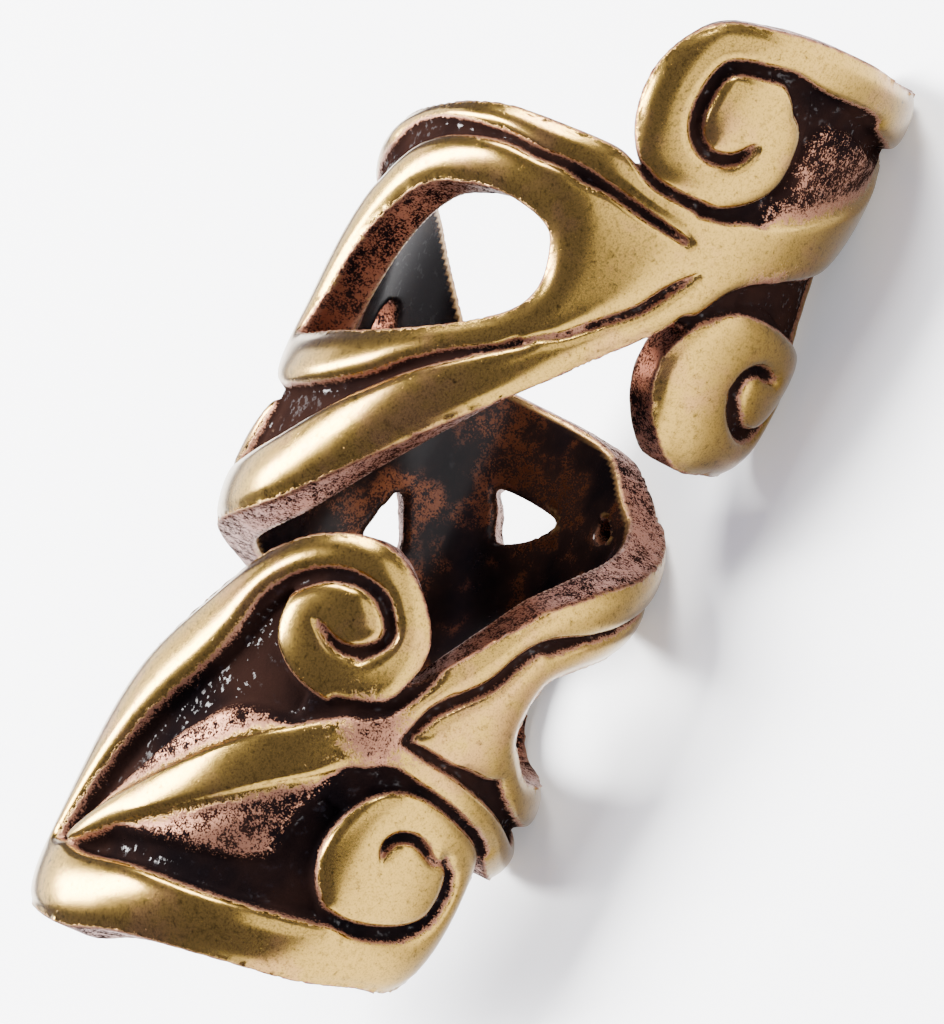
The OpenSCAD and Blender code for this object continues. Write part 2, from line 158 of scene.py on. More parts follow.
# The rings round the two eyes: angle, height, half width, closed.
eyeRings = {
    "upperEye": [
        (-2, -0.1, 0.5), (-4.2, 1.45, 0.72), (-10, 2.2, 0.86), (-20, 2.38, 0.76), (-30, 2.35, 0.75),
        (-40, 2.05, 0.75), (-50, 1.6, 0.75), (-58, 0.9, 0.75), (-66, -0.1, 0.75), (-74, -1.4, 0.75),
        (-81, -2.9, 0.75), (-87, -4.5, 0.75), (-90, -5.7, 0.7), (-84, -6.25, 0.85), (-75, -6.2, 0.92),
        (-65, -5.9, 0.92), (-55, -5.5, 0.88), (-45, -5, 0.78), (-35, -4.35, 0.66), (-25, -3.6, 0.56),
        (-15, -2.75, 0.5), (-8, -2, 0.46), (-3.5, -1.2, 0.48)],
    "lowerEye": [
        (44.5, -13, 0.6), (47, -11.7, 0.5), (54, -11.1, 0.5), (62, -10.6, 0.55), (72, -10.1, 0.65),
        (82, -9.7, 0.72), (92, -9.3, 0.75), (104, -9, 0.75), (116, -8.85, 0.75), (126, -8.95, 0.72),
        (133.5, -9.8, 0.7), (136.5, -11.2, 0.7), (135.5, -12.7, 0.72), (131, -14, 0.75), (124, -14.95, 0.75),
        (114, -15.6, 0.75), (102, -15.9, 0.75), (90, -16, 0.72), (78, -15.9, 0.65), (68, -15.75, 0.55),
        (60, -15.4, 0.5), (52, -14.75, 0.5), (46.5, -14.2, 0.48)],
}
# The volutes. Disc and floor are radii round the centre. A coil starts in the direction "from" and swings the way
# of the sign; its rows are the turn since then in degrees, the reach from the centre and the half width.
volutes = {
    "upperTop": {
        "centre": (22, 7.1), "from": 90, "way": 1, "rim": "upperTopRim", "disc": 1.7, "floor": 2.6, "coil": [
            (0, 2.48, 0.62), (45, 2.47, 0.76), (90, 2.48, 0.86), (135, 2.65, 0.88), (180, 2.3, 0.68),
            (225, 1.85, 0.85), (265, 1.25, 0.95)]},
    "upperLow": {
        "centre": (69, -0.9), "from": -90, "way": -1, "rim": "upperLowRim", "disc": 1.6, "floor": 2.2, "coil": [
            (0, 2.0, 0.85), (45, 2.6, 1.12), (90, 3.15, 1.42), (135, 2.45, 0.92), (180, 1.8, 0.6),
            (225, 1.75, 0.8), (265, 1.25, 0.85)]},
    "lowerTop": {
        "centre": (-14, -12.7), "from": 90, "way": -1, "rim": "lowerTopRim", "disc": 1.5, "floor": 2.2, "coil": [
            (0, 2.05, 0.6), (45, 2.22, 0.5), (90, 2.6, 0.68), (135, 2.45, 0.76), (180, 1.88, 0.68),
            (225, 1.7, 0.75), (265, 1.3, 0.8)]},
    "lowerLow": {
        "centre": (37, -19.8), "from": -90, "way": 1, "rim": "lowerLowRim", "disc": 1.7, "floor": 2.7, "coil": [
            (0, 2.7, 1.0), (45, 3.1, 1.05), (90, 2.95, 0.75), (135, 2.6, 0.66), (180, 2.25, 0.56),
            (225, 2.65, 0.8), (265, 2.4, 1.1), (300, 1.8, 1.15)]},
}
# Grooves cut into the ridges' tops: angle, height, half width.
grooves = {
    "upperTopVolute": [
        (62, 8.6, 0.5), (52, 8.75, 0.42), (40, 8.8, 0.3), (30, 8.95, 0.28), (22, 8.8, 0.26), (14, 8.5, 0.26),
        (11.5, 8, 0.25), (10.7, 7.2, 0.25), (11, 6.6, 0.25), (13, 6, 0.24), (17, 5.65, 0.23),
        (21, 5.65, 0.23), (25, 5.9, 0.2), (27.5, 6.5, 0.1)],
    "underUpperTop": [
        (-1, 4.62, 0.05), (5, 4.3, 0.16), (10, 4.05, 0.18), (20, 4.0, 0.2), (28, 4.05, 0.24), (35, 4.4, 0.3),
        (42, 4.9, 0.4)],
    "upperLowVolute": [
        (92, 1.0, 0.4), (88, -0.2, 0.28), (84, -1.2, 0.26), (79, -1.85, 0.26), (72, -2.0, 0.28), (66, -1.72, 0.33),
        (60.8, -1.16, 0.34), (59.4, -0.43, 0.31), (63.5, 0.05, 0.26), (69, 0.07, 0.2), (73, -0.02, 0.1)],
    "besideUpperLow": [
        (28, -0.75, 0.12), (32, -0.27, 0.14), (35.5, 0.42, 0.18), (39, 1.1, 0.26), (44, 1.72, 0.42),
        (51, 2.1, 0.58), (61, 2.25, 0.7), (72, 2.15, 0.75), (84, 1.9, 0.8)],
    "upperNeckTop": [
        (24, 2.8, 0.04), (22, 2.85, 0.12), (10, 3.05, 0.18), (0, 3.25, 0.18), (-10, 3.4, 0.18),
        (-20, 3.3, 0.18), (-30, 3.3, 0.2), (-40, 3.1, 0.25), (-50, 2.8, 0.36), (-60, 2.3, 0.5),
        (-65, 1.9, 0.6), (-70, 1.4, 0.7), (-74, 0.8, 0.7)],
    "upperNeckLow": [
        (30, 2.1, 0.05), (25, 1.2, 0.16), (20, 0.2, 0.17), (15, -0.4, 0.15), (10, -1.0, 0.13),
        (5, -1.6, 0.11), (0, -2.0, 0.09), (-5, -2.5, 0.06), (-10, -2.95, 0.1), (-15, -3.35, 0.14),
        (-20, -3.8, 0.17), (-25, -4.3, 0.2), (-30, -4.8, 0.22), (-35, -5.4, 0.25), (-40, -5.9, 0.3)],
    "lowerTopVolute": [
        (-39, -14.6, 0.4), (-36.5, -13.4, 0.36), (-30.5, -12.45, 0.33), (-22.5, -11.75, 0.28), (-15, -11.5, 0.26),
        (-8, -11.6, 0.24), (-2, -12.2, 0.24), (0, -12.7, 0.23), (-2, -13.2, 0.22), (-7, -13.6, 0.2),
        (-12, -13.65, 0.18), (-17, -13.4, 0.12), (-20, -13.2, 0.06)],
    "lowerLowVolute": [
        (4, -21.5, 0.5), (12, -21.6, 0.34), (21, -21.68, 0.24), (30, -21.68, 0.27), (41.8, -21.35, 0.31),
        (49.2, -20.9, 0.31), (53.8, -20.2, 0.25), (54.5, -19.5, 0.2), (51.5, -18.85, 0.13), (46, -18.62, 0.1),
        (42, -18.66, 0.13), (37.7, -18.4, 0.18), (33, -18.24, 0.2), (28.4, -18.38, 0.22), (25.8, -18.75, 0.2),
        (26, -19.2, 0.08)],
    "besideLowerTop": [
        (17, -12.6, 0.16), (15, -13.5, 0.2), (10, -14.5, 0.22), (5, -15, 0.24), (-5, -15.4, 0.3)],
    "besideLowerLow": [
        (5, -17.9, 0.5), (12, -17, 0.3), (18, -16.6, 0.22), (28, -16.7, 0.2), (38, -16.9, 0.2),
        (48, -17.2, 0.2), (56, -17.5, 0.22), (63, -17.9, 0.26)],
    "lowerNeckTop": [
        (16, -15.5, 0.1), (20, -14.3, 0.22), (25, -13.6, 0.22), (32, -12.7, 0.22), (37, -11.6, 0.24),
        (42, -10.9, 0.24), (50, -10.4, 0.2), (60, -10.0, 0.16), (65, -9.7, 0.16), (78, -9.0, 0.16),
        (92, -8.4, 0.18), (105, -7.8, 0.2)],
    "lowerNeckLow": [
        (16, -15.5, 0.1), (25, -15.6, 0.2), (35, -15.75, 0.18), (45, -15.9, 0.16), (55, -16.1, 0.16),
        (65, -16.4, 0.17), (78, -16.9, 0.18), (95, -17.2, 0.2)],
}
# The floors: the depth under the crests, then rows of top angle, top height, bottom angle and bottom height.
floors = {
    "upperLeaf": {"depth": 0.78, "rows": [
        (20, 4.2, 33, 0.7), (18, 6, 40, 0), (24, 8.5, 50, -1.5), (42, 9.5, 72, -2.3), (65, 9.6, 88, -1.8),
        (85, 9.4, 100, 1.4), (105, 9.4, 112, 5.2), (125, 9.3, 125, 8.9)]},
    "lowerLeaf": {"depth": 0.92, "rows": [
        (-92, -25.2, -92, -25.6), (-82, -21, -75, -25), (-64, -17, -50, -24.5), (-44, -13.2, -20, -23.8),
        (-22, -11.6, 12, -23.1), (-2, -12.3, 34, -21.3), (7, -13.6, 30, -18.3), (14, -14.5, 18, -16.4)]},
    "upperNeck": {"depth": 0.62, "rows": [
        (-1, 4.1, -1, -2.2), (10, 4.4, 10, -1.2), (22, 4.8, 22, 0.2), (34, 4.9, 34, 0.4), (48, 5, 48, 0.9)]},
    "lowerNeck": {"depth": 0.62, "rows": [
        (-14, -14.8, -14, -18.1), (0, -14.6, 0, -18.2), (12, -13.8, 12, -18.4), (24, -12.8, 24, -17.8),
        (35, -11.6, 35, -17.6), (46, -10.6, 46, -17.8)]},
}
# The ribs' flanks: the depth at the rib, the depth at the foot, the width of the fall, how much copper shows,
# and the outline as angle and height.
flanks = {
    "upperLeaf": {"rib": "upperRib", "near": 0.2, "foot": 0.52, "reach": 2.6, "copper": 0.6, "outline": [
        (38, 4.6), (42, 5.6), (43, 7.2), (46, 8.1), (55, 8.35), (66, 8.2), (78, 7.9), (92, 8.1),
        (108, 8.8), (122, 9.1), (112, 8.3), (98, 6.6), (86, 5.5), (70, 4.7), (52, 3.8)]},
    "upperLeafLow": {"rib": "upperRib", "near": 0.2, "foot": 0.5, "reach": 1.2, "copper": 0.6, "outline": [
        (44, 3.0), (52, 2.9), (61, 3.05), (72, 3.3), (84, 4.1), (96, 5.3), (110, 7.2), (100, 6.8),
        (82, 5.2), (60, 4.2)]},
    "lowerLeaf": {"rib": "lowerRib", "near": 0.16, "foot": 0.6, "reach": 1.9, "copper": 1.0, "outline": [
        (-73, -23.3), (-67, -21.9), (-60, -20.7), (-50, -18.8), (-42, -17.7), (-36, -17.0), (-28, -16.6),
        (-16, -16.5), (-4, -16.4), (6, -17.1), (3, -18.1), (-1, -19.3), (-1.5, -20.6), (-6, -21.1),
        (-17, -21.6), (-37, -22.0), (-54, -22.4), (-68, -23.3)]},
}
# The sunk band between the two borders: its depth, and the angles where it starts and ends, past one turn.
band = {"depth": 0.62, "start": 18, "end": 382}
# Places where the polish is worn through to copper: angle, height, reach in mm, and how much.
wornPlaces = [(8, -15.6, 1.4, 0.5), (54, 2.9, 0.7, 0.3), (47, 2.5, 0.6, 0.3), (57, 9.1, 0.6, 0.2)]
# The holes of the pierced back: outlines as angle and height.
holes = [
    [(199.5, -8.95), (203.5, -9.8), (204.5, -10.9), (190.5, -10.9), (194.5, -9.7)],
    [(144.5, -7.5), (168.5, -7.4), (166, -8.1), (162, -9), (157, -8.9), (149.5, -8.4)],
    [(110.5, -7.1), (113, -6.75), (118, -6.6), (121, -6.95), (118, -7.35), (113, -7.45)],
    [(231, -4.4), (234.5, -3.6), (239, -3.3), (243.5, -3.5), (245, -4.2), (242, -4.9), (235, -5.0)],
]

# The maps of the unrolled wall: columns run round it and rows run up it, in mm.
wallMap = {"step": 0.05, "low": -27.4, "high": 11.6}
mapColumns = int(round(360 * mmPerDegree / wallMap["step"]))
mapRows = int(round((wallMap["high"] - wallMap["low"]) / wallMap["step"])) + 1
mapShape = (mapColumns, mapRows)
columnStep = 360 * mmPerDegree / mapColumns  # mm along the wall
mapAngle = np.arange(mapColumns)[:, None] * columnStep / mmPerDegree
mapHeight = wallMap["low"] + np.arange(mapRows)[None, :] * wallMap["step"]
far = -9.0  # stands in a map where nothing is near
tiny = 1e-12  # keeps a division from failing


def fromFront(angle):  # the same angle, counted from -180 to 180 about the front
    return (angle + 180) % 360 - 180


# a smooth curve through a table's rows: a cubic in t between two rows, with slopes from the rows beside them
def curveThrough(rows, steps, closed=False):
    rows = np.array(rows, float)
    if closed:
        rows = np.concatenate([rows, rows[:1]])
    before = np.concatenate([rows[-2:-1] if closed else rows[:1], rows[:-2]])
    after = np.concatenate([rows[2:], rows[1:2] if closed else rows[-1:]])
    a, b, c, d = (part[:, None, :] for part in (before, rows[:-1], rows[1:], after))
    t = (np.arange(steps) / steps)[None, :, None]
    points = (2 * b + (c - a) * t + (2 * a - 5 * b + 4 * c - d) * t**2 + (3 * b - a - 3 * c + d) * t**3) / 2
    return np.concatenate([points.reshape(-1, rows.shape[1]), rows[-1:]])


def windowOf(lowX, highX, lowZ, highZ):  # the map's columns and rows in a box, and their places in mm
    columns = np.arange(math.floor(lowX / columnStep), math.ceil(highX / columnStep) + 1)
    first = max(math.floor((lowZ - wallMap["low"]) / wallMap["step"]), 0)
    last = min(math.ceil((highZ - wallMap["low"]) / wallMap["step"]), mapRows - 1)
    lines = np.arange(first, last + 1)
    return columns % mapColumns, lines, columns * columnStep, wallMap["low"] + lines * wallMap["step"]


def pathMap(path, reach):  # for each place the greatest of half width less distance, over the path's stretches
    best = np.full(mapShape, far, np.float32)
    x, z, half = path[:, 0] * mmPerDegree, path[:, 1], path[:, 2]
    for i in range(len(path) - 1):
        room = max(half[i], half[i + 1]) + reach
        columns, lines, xs, zs = windowOf(
            min(x[i], x[i + 1]) - room, max(x[i], x[i + 1]) + room,
            min(z[i], z[i + 1]) - room, max(z[i], z[i + 1]) + room)
        runX, runZ = x[i + 1] - x[i], z[i + 1] - z[i]
        offX, offZ = xs[:, None] - x[i], zs[None, :] - z[i]
        t = np.clip((offX * runX + offZ * runZ) / (runX**2 + runZ**2 + tiny), 0, 1)
        edge = half[i] + (half[i + 1] - half[i]) * t - np.hypot(offX - runX * t, offZ - runZ * t)
        spot = np.ix_(columns, lines)
        best[spot] = np.maximum(best[spot], edge)
    return best


def discMap(centre, half, reach):  # half less the distance to the centre
    return pathMap(np.array([(*centre, half)] * 2), reach)


# the distance to a closed outline's nearest side, above 0 inside it, where a level line from the place crosses
# an odd number of sides
def outlineMap(outline, reach):
    points = np.array(outline, float) * [mmPerDegree, 1]
    low, high = points.min(axis=0) - reach, points.max(axis=0) + reach
    columns, lines, xs, zs = windowOf(low[0], high[0], low[1], high[1])
    inside = np.zeros((len(xs), len(zs)), bool)
    nearest = np.full(inside.shape, np.inf)
    for p, q in zip(points, np.roll(points, -1, axis=0)):
        run = q - p
        offX, offZ = xs[:, None] - p[0], zs[None, :] - p[1]
        t = np.clip((offX * run[0] + offZ * run[1]) / (run @ run + tiny), 0, 1)
        nearest = np.minimum(nearest, np.hypot(offX - run[0] * t, offZ - run[1] * t))
        if abs(run[1]) > tiny:
            passed = (zs[None, :] > p[1]) != (zs[None, :] > q[1])
            inside ^= passed & (offX < run[0] * offZ / run[1])
    best = np.full(mapShape, far, np.float32)
    best[np.ix_(columns, lines)] = np.where(inside, nearest, -nearest)
    return best


def blurred(field, spread):  # each place's mean, weighted by a bell curve, round the wall and mirrored at its ends
    across = np.fft.fftfreq(mapColumns, columnStep)[:, None]
    rows = 2 * mapRows
    along = np.fft.rfftfreq(rows, wallMap["step"])[None, :]
    padded = np.concatenate([field, field[:, ::-1]], axis=1)
    fall = np.exp(-2 * (math.pi * spread) ** 2 * (across**2 + along**2))
    return np.fft.irfft2(np.fft.rfft2(padded) * fall, s=(mapColumns, rows))[:, :mapRows].astype(np.float32)


def smooth(start, end, x):  # 0 at start and 1 at end, by 3 t squared less 2 t cubed
    t = np.clip((x - start) / (end - start), 0, 1)
    return t * t * (3 - 2 * t)


# How the relief is drawn, in mm.
relief = {
    # steps between two rows of a table, and how far round a path or an outline distances are worked out
    "pathSteps": 8, "flankSteps": 4, "holeSteps": 6,
    "ridgeReach": 0.5, "ribReach": 4.0, "flankReach": 0.6, "holeReach": 1.2, "insideReach": 0.1,
    # the slope of the ridges' sides, the lowest level, and the grooves with their shoulders
    "edgeSlope": 5.0, "lowest": -1.0, "grooveDepth": 0.58, "shoulder": 0.17,
    # a floor's place counts as this far inside the metal, and a ridge this thick bridges a hole
    "sheet": 1.0, "bridge": 0.3, "metalMost": 1.5,
    # the levels between which the floor turns into crest
    "crestFrom": -0.42, "crestTo": -0.12,
    # how far the crests drop near their own edge, softly and sharply, and near the metal's edge
    "crown": 0.2, "crownSpread": 0.75, "rounding": 0.34, "roundingSpread": 0.24, "brim": 0.5, "brimSpread": 0.8,
    # where a flank turns steep, how steeply, how far its fall goes past its reach, and its copper's soft border
    "flankEdge": 0.25, "flankFall": 1.3, "flankPast": 1.3, "flankBorder": 0.35,
    # the last blur of the level, of the metal's outline and of the two masks
    "soften": 0.055, "metalSoften": 0.04, "maskSoften": 0.08,
}


def bandMap():  # True where the height is between the two borders' heights at that angle
    top, bottom = np.array(ridges["topBorder"]), np.array(ridges["bottomBorder"])
    inside = np.zeros(mapShape, bool)
    for shift in (0, 360):  # the band goes on past one turn
        at = mapAngle + shift
        under = mapHeight < np.interp(at, top[:, 0], top[:, 1])
        over = mapHeight > np.interp(at, bottom[:, 0], bottom[:, 1])
        inside |= under & over & (at > band["start"]) & (at < band["end"])
    return inside


def eyeMap():  # True inside either eye's ring
    rings = [outlineMap([row[:2] for row in rows], relief["insideReach"]) for rows in eyeRings.values()]
    return np.maximum.reduce(rings) > 0


def coilPath(volute):  # the rim's path, then points that swing round the volute's centre
    turn, reach, half = np.array(volute["coil"]).T
    direction = np.radians(volute["from"] + volute["way"] * turn)
    angle = volute["centre"][0] + reach * np.cos(direction) / mmPerDegree
    height = volute["centre"][1] + reach * np.sin(direction)
    return curveThrough(ridges[volute["rim"]] + list(zip(angle, height, half)), relief["pathSteps"])


def drawRidges(inEye):  # the greatest of half width less distance, over ridges, coils and discs, then the rings
    steps, reach = relief["pathSteps"], relief["ridgeReach"]
    rims = [volute["rim"] for volute in volutes.values()]
    paths = [curveThrough(rows, steps) for name, rows in ridges.items() if name not in rims]
    paths += [coilPath(volute) for volute in volutes.values()]
    raised = [pathMap(path, reach) for path in paths]
    raised += [discMap(volute["centre"], volute["disc"], reach) for volute in volutes.values()]
    raised = np.where(inEye, far, np.maximum.reduce(raised))
    rings = [pathMap(curveThrough(rows, steps, True), reach) for rows in eyeRings.values()]
    return np.maximum.reduce([raised] + rings)


def drawFloors(inEye):  # minus the depth inside the band, round each volute and inside each sheet
    floor = np.where(bandMap() & ~inEye, -band["depth"], far).astype(np.float32)
    for volute in volutes.values():
        disc = discMap(volute["centre"], volute["floor"], relief["insideReach"])
        floor = np.maximum(floor, np.where(disc > 0, -band["depth"], far))
    for sheet in floors.values():
        rows = curveThrough(sheet["rows"], relief["pathSteps"])
        outline = np.concatenate([rows[:, :2], rows[::-1, 2:]])
        inside = outlineMap(outline, relief["insideReach"]) > 0
        floor = np.maximum(floor, np.where(inside, -sheet["depth"], far))
    return floor


def drawFlanks(floor):  # each flank falls straight from near at the rib to foot at reach, steeply past its outline
    rubbed = np.zeros(mapShape, np.float32)
    for flank in flanks.values():
        rib = pathMap(curveThrough(ridges[flank["rib"]], relief["flankSteps"]), relief["ribReach"])
        share = np.clip(np.clip(-rib, 0, relief["ribReach"]) / flank["reach"], 0, relief["flankPast"])
        slope = -flank["near"] - (flank["foot"] - flank["near"]) * share
        outline = curveThrough(flank["outline"], relief["flankSteps"], True)[:-1]
        edge = outlineMap(outline, relief["flankReach"])
        slope = slope + np.minimum(edge - relief["flankEdge"], 0) * relief["flankFall"]
        rubbed = np.maximum(rubbed, flank["copper"] * smooth(0.0, relief["flankBorder"], edge))
        floor = np.where(floor > far / 2, np.maximum(floor, slope), floor)
    return floor, rubbed


def drawHoles():  # how far inside the nearest hole's outline each place is
    outlines = [curveThrough(outline, relief["holeSteps"], True)[:-1] for outline in holes]
    return np.maximum.reduce([outlineMap(outline, relief["holeReach"]) for outline in outlines])


def cutGrooves(level):  # each groove goes down as the square root of the share of its shoulder
    for rows in grooves.values():
        edge = pathMap(curveThrough(rows, relief["pathSteps"]), relief["insideReach"])
        cut = -relief["grooveDepth"] * np.sqrt(np.clip(edge / relief["shoulder"], 0, 1))
        level = np.minimum(level, np.where(edge > 0, cut, 0))
    return level


def wornMap():  # the sum of each worn place's amount, times a bell curve of the distance to it
    worn = 0
    for angle, height, reach, amount in wornPlaces:
        away = ((fromFront(mapAngle) - angle) * mmPerDegree) ** 2 + (mapHeight - height) ** 2
        worn = worn + amount * np.exp(-away / reach**2)
    return worn


# the level is the ridges' sides or the floor, the higher of the two, then the grooves and a drop near the edges
def drawRelief():
    inEye = eyeMap()
    raised = drawRidges(inEye)
    floor, rubbed = drawFlanks(drawFloors(inEye))
    # the metal is every ridge and floor, less the holes where no ridge crosses them
    metal = np.maximum(raised, np.where(floor > far / 2, relief["sheet"], far))
    metal = np.minimum(metal, np.where(raised > relief["bridge"], -far, -drawHoles()))
    level = np.maximum(np.minimum(raised * relief["edgeSlope"], 0), floor)
    level = cutGrooves(np.maximum(level, relief["lowest"]))
    high = smooth(relief["crestFrom"], relief["crestTo"], level) * (metal > 0)
    drop = relief["crown"] * (1 - blurred(high, relief["crownSpread"]))
    drop += relief["rounding"] * (1 - blurred(high, relief["roundingSpread"]))
    drop += relief["brim"] * (1 - blurred((metal > 0).astype(np.float32), relief["brimSpread"]))
    level = blurred(level - drop * high, relief["soften"])
    metal = np.clip(blurred(metal, relief["metalSoften"]), -relief["metalMost"], relief["metalMost"])
    high = blurred(high, relief["maskSoften"]) - wornMap()
    return level, metal, high, blurred(rubbed, relief["maskSoften"])


levelMap, metalMap, highMap, flankMap = drawRelief()
print("relief drawn", levelMap.shape, float(levelMap.min()), float(levelMap.max()))


def sampled(field, angle, height):  # the map's four points round each place, weighted by how near they are
    x = (angle * mmPerDegree / columnStep) % mapColumns
    z = np.clip((height - wallMap["low"]) / wallMap["step"], 0, mapRows - 1.001)  # just short of the last row
    i, j = np.floor(x).astype(int) % mapColumns, np.floor(z).astype(int)
    u, v = x - np.floor(x), z - j
    k = (i + 1) % mapColumns
    lower = field[i, j] * (1 - u) + field[k, j] * u
    upper = field[i, j + 1] * (1 - u) + field[k, j + 1] * u
    return lower * (1 - v) + upper * v


# How the skin is meshed, in mm.
skin = {
    # the grid's steps: fineStep up to fineFrom degrees either side of the front, coarseStep behind
    "fineStep": 0.145, "coarseStep": 0.28, "fineFrom": 95.0, "heightStep": 0.147, "depthStep": 0.165,
    # the grid's ends, how round the metal's edges are, and the least value that a corner of the grid may have
    "low": -27.2, "high": 11.4, "underBore": 0.2, "headRoom": 0.3, "edgeRound": 0.13, "nudge": 1e-5,
    # how the net settles: rounds, the probe that feels the slope, the least slope squared and the longest moves
    "rounds": 4, "probe": 0.02, "leastSlope": 0.25,
    "longestMove": 0.06, "longestSlide": 0.05, "longestLift": 0.08,
    # the soft border of the marks on the edges and in the bore
    "markBorder": 0.25,
}


def softLeast(a, b, room):  # the lesser of two, less the overlap squared over four times room: a rounded corner
    gap = np.clip(room - np.abs(a - b), 0, None)
    return np.minimum(a, b) - gap * gap / (4 * room)


# the least of three, with rounded corners: how far under the relief, over the bore and inside the metal's outline
def solidity(angle, height, level):
    room = skin["edgeRound"]
    outer = sampled(levelMap, angle, height) - level
    inner = level + beadWall["wall"]
    return softLeast(softLeast(outer, inner, room), sampled(metalMap, angle, height), room)


def wallAngles():  # the columns' angles: close together in front and wider apart at the back
    fine, coarse, edge = skin["fineStep"] / mmPerDegree, skin["coarseStep"] / mmPerDegree, skin["fineFrom"]
    front = np.linspace(-edge, edge, int(round(2 * edge / fine)), endpoint=False)
    back = np.linspace(edge, 360 - edge, int(round((360 - 2 * edge) / coarse)), endpoint=False)
    return np.concatenate([front, back])


cornerSteps = np.array([(i, j, k) for i in (0, 1) for j in (0, 1) for k in (0, 1)])


def netPoints(field, cells):  # each cell's point is the mean of the places where its edges pass the skin
    around = cells[:, None, :] + cornerSteps[None, :, :]
    around[..., 0] %= field.shape[0]
    values = field[around[..., 0], around[..., 1], around[..., 2]]
    place = np.zeros((len(cells), 3))
    hits = np.zeros(len(cells))
    for p in range(8):
        for axis in range(3):
            if cornerSteps[p, axis]:
                continue
            q = p + (4, 2, 1)[axis]  # the corner one step along the axis
            crossed = (values[:, p] > 0) != (values[:, q] > 0)
            t = np.where(crossed, values[:, p] / np.where(crossed, values[:, p] - values[:, q], 1), 0)
            spot = cornerSteps[p] + t[:, None] * (cornerSteps[q] - cornerSteps[p])
            place += spot * crossed[:, None]
            hits += crossed
    return cells + place / hits[:, None]


def netFaces(solid, number):  # across each grid edge that leaves or enters the metal, the four cells round it
    faces = []
    for axis, (one, two) in enumerate(((1, 2), (2, 0), (0, 1))):
        ahead = np.roll(solid, -1, axis=0) if axis == 0 else np.concatenate(
            [solid.take(range(1, solid.shape[axis]), axis), solid.take([-1], axis)], axis)
        edges = np.argwhere(solid != ahead)
        outward = solid[tuple(edges.T)]
        corners = []
        for a, b in ((0, 0), (1, 0), (1, 1), (0, 1)):
            cell = edges.copy()
            cell[:, one] -= a
            cell[:, two] -= b
            cell[:, 0] %= solid.shape[0]
            corners.append(number[tuple(cell.T)])
        quad = np.stack(corners, axis=1)
        faces.append(np.where(outward[:, None], quad, quad[:, ::-1]))
    return np.concatenate(faces)


def wrapWall():  # surface nets: one point in each cell that the skin passes, one face across each crossed edge
    angles = wallAngles()
    heights = np.arange(skin["low"], skin["high"], skin["heightStep"])
    levels = np.arange(-beadWall["wall"] - skin["underBore"], skin["headRoom"], skin["depthStep"])
    field = solidity(angles[:, None, None], heights[None, :, None], levels)
    field = np.where(np.abs(field) < skin["nudge"], skin["nudge"], field)  # no corner is left on the skin itself
    solid = field > 0
    wrapped = np.concatenate([solid, solid[:1]], axis=0)
    count = np.zeros(tuple(n - 1 for n in wrapped.shape), np.int8)
    for i, j, k in cornerSteps:
        count += wrapped[i:i + count.shape[0], j:j + count.shape[1], k:k + count.shape[2]]
    cells = np.argwhere((count > 0) & (count < 8))
    number = np.full(count.shape, -1, np.int64)
    number[tuple(cells.T)] = np.arange(len(cells))
    place = netPoints(field, cells)
    closedAngles = np.append(angles, angles[0] + 360)
    angle = np.interp(place[:, 0], np.arange(len(closedAngles)), closedAngles)
    height = heights[0] + place[:, 1] * skin["heightStep"]
    level = levels[0] + place[:, 2] * skin["depthStep"]
    return angle, height, level, netFaces(solid, number)


def settled(angle, height, level):  # each round moves a point down its slope by solidity over the slope squared
    probe, slide, lift = skin["probe"], skin["longestSlide"], skin["longestLift"]
    turn = probe / mmPerDegree
    for _ in range(skin["rounds"]):
        here = solidity(angle, height, level)
        gx = (solidity(angle + turn, height, level) - solidity(angle - turn, height, level)) / (2 * probe)
        gz = (solidity(angle, height + probe, level) - solidity(angle, height - probe, level)) / (2 * probe)
        gl = (solidity(angle, height, level + probe) - solidity(angle, height, level - probe)) / (2 * probe)
        slope = np.maximum(gx**2 + gz**2 + gl**2, skin["leastSlope"])
        move = np.clip(here / slope, -skin["longestMove"], skin["longestMove"])
        angle = angle - np.clip(move * gx, -slide, slide) / mmPerDegree
        height = height - np.clip(move * gz, -slide, slide)
        level = level - np.clip(move * gl, -lift, lift)
    return angle, height, level


# How far the leaves' free edges stand out from the cone, in mm. A step is 0 at its first value, 1 at its second.
springs = {
    "upperLobe": {"out": 0.6, "steps": [
        ("angle", 35, 85), ("angle", 140, 110), ("height", 5, 0.5), ("height", -6, -2)]},
    "lowerTip": {"out": 0.4, "steps": [("angle", -48, -82), ("height", -11.5, -17)]},
    "upperTip": {"out": 0.2, "steps": [("angle", 98, 122), ("height", 3.5, 8), ("angle", 160, 140)]},
}


def springOut(angle, height):  # the sum over the springs of out times the product of its smooth steps
    along = {"angle": fromFront(angle), "height": height}
    total = 0
    for spring in springs.values():
        share = 1
        for axis, start, end in spring["steps"]:
            share = share * smooth(start, end, along[axis])
        total = total + spring["out"] * share
    return total


# a point's radius is the cone's plus its spring, at most the flat's distance over the cosine, then the level
def onWall(angle, height, level):
    cone = beadWall["outerRadius"] + beadWall["taper"] * (height - beadWall["midHeight"])
    cosine = np.maximum(restPose["leastCosine"], np.cos(np.radians(angle - restPose["side"])))
    pressed = restPose["flat"] * cone / cosine
    radius = softLeast(cone + springOut(angle, height), pressed, beadWall["flatBlend"]) + level
    turn = np.radians(angle)
    return np.stack([radius * np.sin(turn), -radius * np.cos(turn), height], axis=1)


